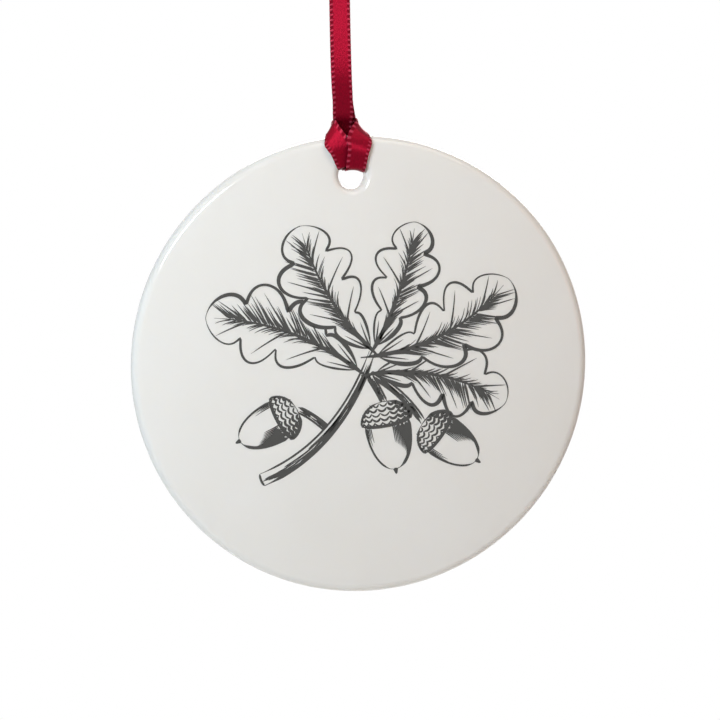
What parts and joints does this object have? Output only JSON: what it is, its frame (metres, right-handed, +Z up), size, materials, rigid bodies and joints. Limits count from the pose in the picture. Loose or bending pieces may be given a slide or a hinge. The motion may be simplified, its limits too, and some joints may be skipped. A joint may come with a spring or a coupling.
{
  "type": "hanging disc ornament",
  "caption": "Flat round glazed porcelain ornament hung on a narrow red satin ribbon, tied through its hole with a lark's head hitch and knotted into a loop for a hook.",
  "frame": {"origin": "the seat of the ribbon loop on its hook, under the knot", "axes": "+Z up along the hanging ribbon, the printed face of the disc towards -Y, +X to the right seen from the front"},
  "size_m": [0.072, 0.0087, 0.1406],
  "materials": {
    "glazed_porcelain": "gloss white glaze",
    "red_satin_ribbon": "satin weave with stitched edges"
  },
  "bodies": {
    "hanger": {"ribbon_knot": "red_satin_ribbon", "ribbon_front_leg_upper": "red_satin_ribbon", "ribbon_back_leg_upper": "red_satin_ribbon"},
    "ribbon_end": {"ribbon_front_leg_lower": "red_satin_ribbon", "ribbon_back_leg_lower": "red_satin_ribbon"},
    "disc": {"porcelain_disc": "glazed_porcelain", "ribbon_hitch": "red_satin_ribbon"}
  },
  "joints": [
    {"name": "ribbon_twist", "type": "hinge", "parent": "hanger", "child": "ribbon_end", "pos_m": [0, 0, -0.0314], "axis": [0, 0, 1], "range_deg": [-180, 180], "stiffness_Nm_per_rad": 0.00005, "deforming": ["ribbon_front_leg_upper", "ribbon_back_leg_upper"]},
    {"name": "disc_tilt", "type": "hinge", "parent": "ribbon_end", "child": "disc", "pos_m": [0, 0, -0.048], "axis": [1, 0, 0], "range_deg": [-90, 90], "deforming": ["ribbon_front_leg_lower", "ribbon_back_leg_lower"]}
  ]
}
